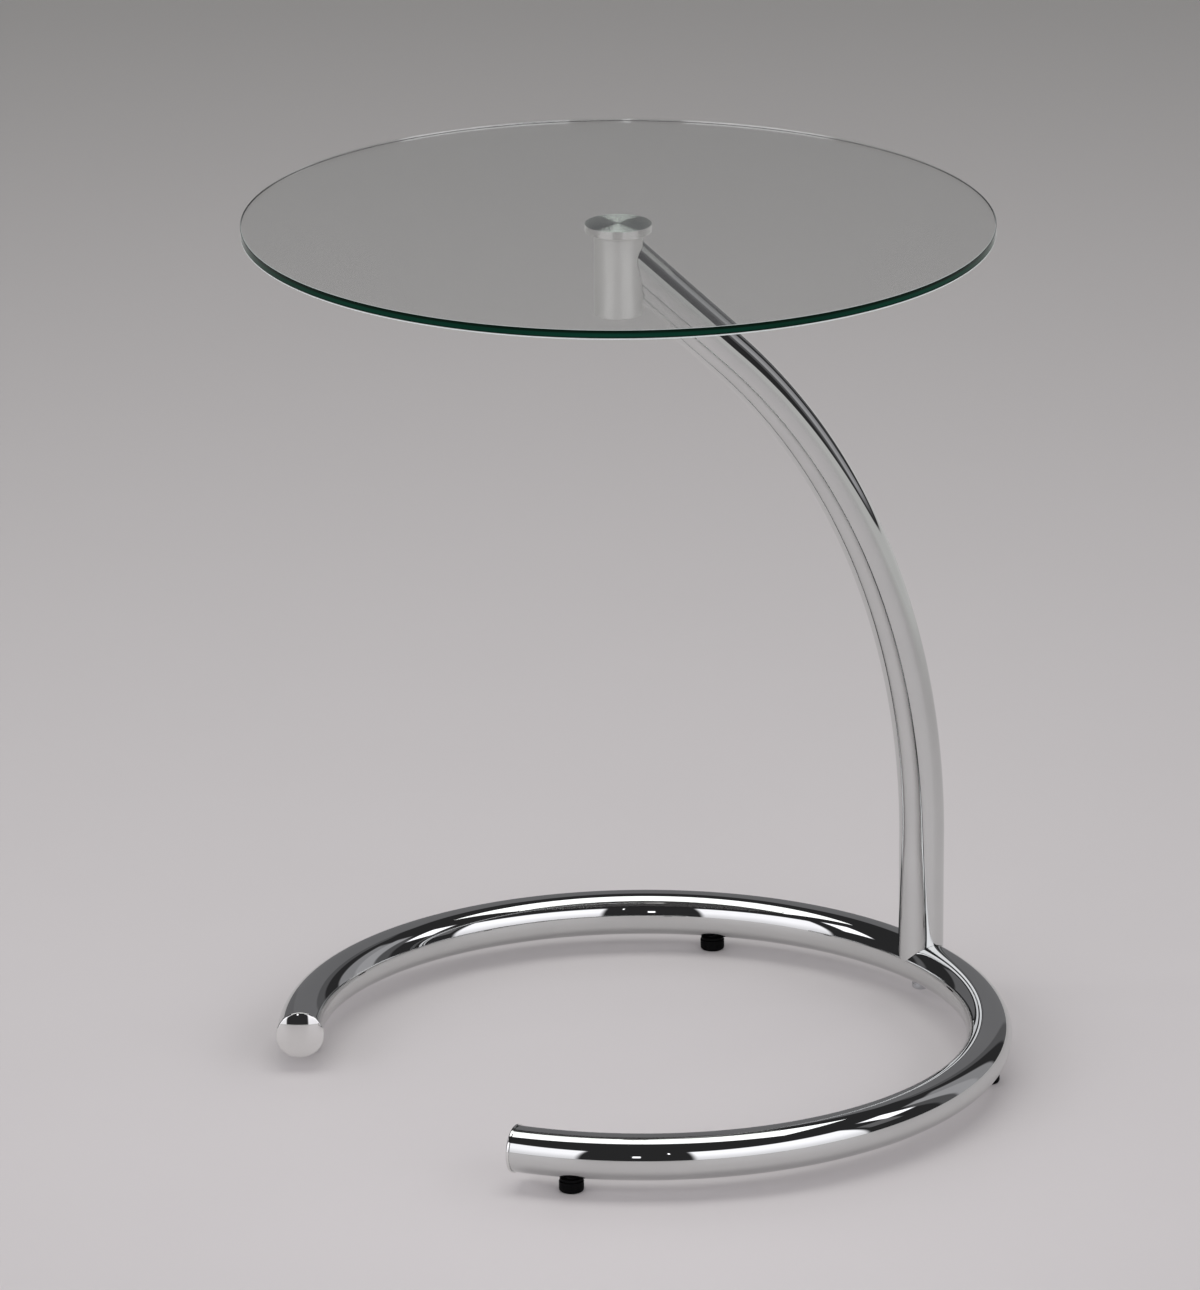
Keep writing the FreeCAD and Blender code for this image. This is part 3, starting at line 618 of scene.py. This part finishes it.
def green_edge():
    """The polished edge, looking into the depth of the sheet: deep green, with painted light in a
    band between its foot and top that is lighter in slow streaks round it, and painted highlights as
    pale lines along its foot and top, where the bevels would catch the light. From within the sheet
    the edge is a mirror with a painted dark line at its foot."""
    nodes = Nodes(bpy.data.materials.new("green_edge"))
    above_foot = nodes.place(centre=(0, 0, glass_low.z))
    height = nodes.add("ShaderNodeSeparateXYZ", {}, {0: above_foot}, output=2)
    streak = nodes.cloud(nodes.place(stretch=edge_streak_stretch), edge_streaks_per_metre, detail=3)
    # Painted light: a band of lighter green between foot and top, lighter in slow streaks.
    under_top = nodes.ramp(height, painted_light_band_top + painted_light_band_top_fade,
                           painted_light_band_top - painted_light_band_top_fade)
    over_foot = nodes.ramp(height, painted_light_band_foot - painted_light_band_foot_fade,
                           painted_light_band_foot + painted_light_band_foot_fade)
    green = nodes.between(streak * (under_top * over_foot), edge_deep, edge_green_painted_lit)
    # Painted highlights: pale lines at the foot and top bevels.
    highlight_at_foot = nodes.ramp(height, painted_highlight_foot + painted_highlight_foot_fade,
                           painted_highlight_foot - painted_highlight_foot_fade)
    highlight_at_top = nodes.ramp(height, painted_highlight_top - painted_highlight_top_fade, painted_highlight_top)
    outer = nodes.between(highlight_at_foot + painted_highlight_top_share * highlight_at_top, green, edge_painted_highlight)
    # Inside: a painted dark line at the foot, then the mirror.
    bright = nodes.ramp(height, inner_painted_shade_top, inner_bright_foot)
    inner = nodes.between(bright, green, inner_bright)
    within = nodes.add("ShaderNodeNewGeometry", output="Backfacing")
    return nodes.surface(Base_Color=nodes.between(within, outer, inner), Metallic=within,
                         Roughness=edge_blur + edge_streak_blur * streak, IOR=glass_ior,
                         Specular_IOR_Level=edge_gloss)


bevel_foot, bevel_top = glass_radius - glass_arris, glass_high.z - glass_arris
glass_outline = rounded([(0, glass_low.z, 0), (bevel_foot, glass_low.z, 0),
                         (glass_radius, glass_low.z + glass_arris, 0), (glass_radius, bevel_top, 0),
                         (bevel_foot, glass_high.z, 0), (0, glass_high.z, 0)])
glass_plate = turned("glass_plate", glass_outline, (0, glass_y, 0), glass_sides)
fit(glass_plate, clear_glass(), "glass", "root", "glass_top")
glass_plate.data.materials.append(green_edge())
face_normals = np.zeros(3 * len(glass_plate.data.polygons))
glass_plate.data.polygons.foreach_get("normal", face_normals)
on_edge = np.abs(face_normals.reshape(-1, 3)[:, 2]) < flat_face
glass_plate.data.polygons.foreach_set("material_index", on_edge.astype(np.int32))
glass_plate.visible_shadow = False
glass_plate.visible_diffuse = False

# The floor: a wide sweep of matt paper with a slight sheen, its colour painted lighter in a pool of
# light round the table and darker further off. Far from the table it fades into the plain backdrop,
# so that no edge shows from any side.
view_turn = math.radians(35)
to_right = np.array([math.sin(view_turn), math.cos(view_turn), 0])
to_back = np.array([-math.cos(view_turn), math.sin(view_turn), 0])
floor_radius = 30.0
floor_rings = 12
floor_sides = 96
# The paper's own colour and its mottle, and the darker colour of painted shade it dims to outside a
# painted pool of light round the table.
paper = (0.775, 0.742, 0.735, 1)
paper_worn = (0.755, 0.722, 0.715, 1)
paper_far_painted_dim = (0.357, 0.352, 0.332, 1)
painted_pool_forward = 0.3
painted_pool_radius = 3.0
backdrop = (0.235, 0.23, 0.228, 1)
fade_start = 3.0
fade_end = 6.0
# A painted glow that the floor shows only in the chrome, rising from 0.8 m to 1.7 m out.
painted_chrome_glow = (0.58, 0.575, 0.57, 1)
mirror_start = 0.8
mirror_end = 1.7
mirror_edge = 3.3
mirror_far_edge = 3.8
paper_blur = 0.5
paper_gloss = 0.2
mottles_per_metre = 6


def floor_paper():
    """Matt paper, faintly uneven, painted lighter in a pool of light near the table and darker
    further off, that turns into an even backdrop further out. In the chrome its far part has a
    painted glow, lighter, as if more light lay beside the view, and it ends where the room begins."""
    nodes = Nodes(bpy.data.materials.new("floor_paper"))
    place = nodes.place()
    mottle = nodes.cloud(place, mottles_per_metre, detail=4)
    distance = nodes.vector("LENGTH", {0: place}, output="Value")
    # Painted light: the paper is lighter in a pool round a point in front of the table and dims out
    # to 3 m.
    pool = nodes.vector("LENGTH", {0: nodes.place(centre=-painted_pool_forward * to_back)}, output="Value")
    painted_dimming = pool.math("MULTIPLY", pool, 1 / painted_pool_radius, clamped=True)
    paper_colour = nodes.between(painted_dimming, nodes.between(mottle, paper, paper_worn), paper_far_painted_dim)
    paper_face = nodes.add("ShaderNodeBsdfPrincipled", {}, {
        "Base Color": paper_colour, "Roughness": paper_blur, "Specular IOR Level": paper_gloss})
    far_face = nodes.add("ShaderNodeEmission", {}, {"Color": backdrop})
    faded = nodes.add("ShaderNodeMixShader", {}, {
        0: nodes.ramp(distance, fade_start, fade_end), 1: paper_face, 2: far_face})
    # Painted glow: only in the chrome does the far floor glow, as if more light lay beside the view.
    painted_glow_face = nodes.add("ShaderNodeEmission", {}, {"Color": painted_chrome_glow})
    glossy_ray = nodes.add("ShaderNodeLightPath", output="Is Glossy Ray")
    through_glass = nodes.add("ShaderNodeLightPath", output="Is Transmission Ray")
    in_chrome = glossy_ray.math("SUBTRACT", glossy_ray, through_glass, clamped=True)
    mirrored = nodes.add("ShaderNodeMixShader", {}, {
        0: in_chrome * nodes.ramp(distance, mirror_start, mirror_end), 1: faded, 2: painted_glow_face})
    open_end = nodes.add("ShaderNodeBsdfTransparent")
    ended = nodes.add("ShaderNodeMixShader", {}, {
        0: in_chrome * nodes.ramp(distance, mirror_edge, mirror_far_edge), 1: mirrored, 2: open_end})
    nodes.add("ShaderNodeOutputMaterial", {}, {"Surface": ended})
    return nodes.owner


ring_of_floor = np.linspace(0, 1, floor_rings)[:, None, None] ** 2 * floor_radius
floor_turn = np.linspace(2 * math.pi, 0, floor_sides, endpoint=False)[:, None]
floor_way = np.concatenate([np.cos(floor_turn), np.sin(floor_turn), 0 * floor_turn], axis=1)
floor = skin("floor", ring_of_floor * floor_way)
floor.data.materials.append(floor_paper())

# The light: a large softbox overhead, and a dim room with a large soft panel on each side of the
# camera, a small one high to the left and right, faint ones ahead, and two lamps behind the camera.
# Bearings are degrees from straight ahead to the right, and heights are degrees above the horizon.
softbox_height = 3.0
softbox_right = -0.19
softbox_back = 0.395
softbox_width = 3.3
softbox_depth = 1.63
softbox_brightness = 1.9
room_colour = (1.0, 0.985, 1.03, 1)
room_dark = 0.030
fill_brightness = 0.70
fill_top = 65
fill_foot = 30
panel_border = 2.5
lamp_border = 0.6
panel_foot_share = 0.66
panel_full_height = 26
large_panels = [
    # bearing from and to, height from and to, brightness
    (-160.5, -109, -5, 42, 1.42),
    (108, 166.5, -5, 40, 1.48),
]
panels = [
    # the same for the smaller ones
    (77.5, 94, 30.5, 47.5, 2.0),
    (-100.5, -83.5, 28.5, 47, 2.0),
    (45, 59.5, -5, 42, 0.28),
    (57, 71.5, -5, 44, 0.39),
    (69, 80, -5, 40, 0.08),
    (91, 107, 18, 34, 0.14),
    (-14, 10, -5, 50, 0.15),
    (7.5, 26, -5, 48, 0.15),
    (23.5, 35, -5, 46, 0.08),
    (-43, -11.5, -5, 28, 0.12),
    (-70, -62, -5, 30, 0.10),
]
lamps = [
    # the same behind the camera, with bearings from straight back to the right
    (-4.4, -1.3, 15, 22.5, 2.5),
    (7.0, 8.2, 31, 37, 3.0),
]

softbox_lamp = bpy.data.lights.new("softbox", "AREA")
softbox_lamp.shape = "RECTANGLE"
softbox_lamp.size, softbox_lamp.size_y = softbox_width, softbox_depth
softbox_lamp.energy = softbox_brightness * math.pi * softbox_width * softbox_depth
softbox = bpy.data.objects.new("softbox", softbox_lamp)
softbox.location = (softbox_right * to_right + softbox_back * to_back
                    + np.array([0, 0, softbox_height]))
softbox.rotation_euler.z = math.pi / 2 - view_turn
softbox.visible_camera = False
bpy.context.scene.collection.objects.link(softbox)

room = Nodes(bpy.data.worlds.new("room"))
bpy.context.scene.world = room.owner
way = room.add("ShaderNodeTexCoord", output="Generated")
rightward = room.vector("DOT_PRODUCT", {0: way, 1: to_right}, output="Value")
backward = room.vector("DOT_PRODUCT", {0: way, 1: to_back}, output="Value")
up = room.add("ShaderNodeSeparateXYZ", {}, {0: way}, output=2)
ahead = rightward.math("ARCTAN2", rightward, backward) * math.degrees(1)
behind = rightward.math("ARCTAN2", rightward, 0 - backward) * math.degrees(1)
height = up.math("ARCSINE", up) * math.degrees(1)


def lit(bearing, bearing_from, bearing_to, height_from, height_to, brightness, border):
    """A lit rectangle in the room: its brightness times a rise from 0 to 1 over border degrees
    inside each of its four sides."""
    left, right = (room.ramp(bearing, bearing_from, bearing_from + border),
                   room.ramp(bearing, bearing_to, bearing_to - border))
    low, high = (room.ramp(height, height_from, height_from + border),
                 room.ramp(height, height_to, height_to - border))
    return brightness * (left * right * (low * high))


camera_ray = room.add("ShaderNodeLightPath", output="Is Camera Ray")
glass_ray = room.add("ShaderNodeLightPath", output="Is Transmission Ray")
diffuse_ray = room.add("ShaderNodeLightPath", output="Is Diffuse Ray")
times_mirrored = room.add("ShaderNodeLightPath", output="Glossy Depth")
fill = fill_brightness * diffuse_ray * room.ramp(height, fill_top, fill_foot)
shade = panel_foot_share + (1 - panel_foot_share) * room.ramp(height, 0, panel_full_height)
sources = [lit(ahead, *sizes, panel_border) for sizes in panels]
sources += [lit(ahead, *sizes, panel_border) * shade for sizes in large_panels]
sources += [lit(behind, *sizes, lamp_border) for sizes in lamps]
strength = sum(sources, fill + room_dark)
glow = room.add("ShaderNodeBackground", {}, {"Color": room_colour, "Strength": strength})
plain = room.add("ShaderNodeBackground", {}, {"Color": backdrop})
straight_through = glass_ray.math("SUBTRACT", glass_ray, times_mirrored, clamped=True)
seen = camera_ray.math("MAXIMUM", camera_ray, straight_through)
shown = room.add("ShaderNodeMixShader", {}, {0: seen, 1: glow, 2: plain})
room.add("ShaderNodeOutputWorld", {}, {"Surface": shown})
bpy.context.scene.view_settings.view_transform = "Standard"

# The camera stands a little above and to the side, level but for a slight roll.
camera_right = -0.011737
camera_back = -5.782923
camera_height = 2.224864
camera_pitch = math.radians(18.6277)
camera_roll = math.radians(-0.2078)
focal_pixels = 10113.0
long_side_pixels = 1290
camera_sensor = 36.0
nearest = 0.1
furthest = 100

lens = bpy.data.cameras.new("camera")
lens.sensor_width = camera_sensor
lens.lens = focal_pixels / long_side_pixels * camera_sensor
lens.clip_start, lens.clip_end = nearest, furthest
camera = bpy.data.objects.new("camera", lens)
look = math.cos(camera_pitch) * to_back - math.sin(camera_pitch) * np.array([0, 0, 1])
head_up = math.sin(camera_pitch) * to_back + math.cos(camera_pitch) * np.array([0, 0, 1])
rolled_right = math.cos(camera_roll) * to_right + math.sin(camera_roll) * head_up
rolled_up = math.cos(camera_roll) * head_up - math.sin(camera_roll) * to_right
stand = np.array([0, glass_y, camera_height]) + camera_right * to_right + camera_back * to_back
placed = np.stack([rolled_right, rolled_up, -look, stand], axis=1)
camera.matrix_world = Matrix(np.vstack([placed, [0, 0, 0, 1]]))
bpy.context.scene.collection.objects.link(camera)
bpy.context.scene.camera = camera
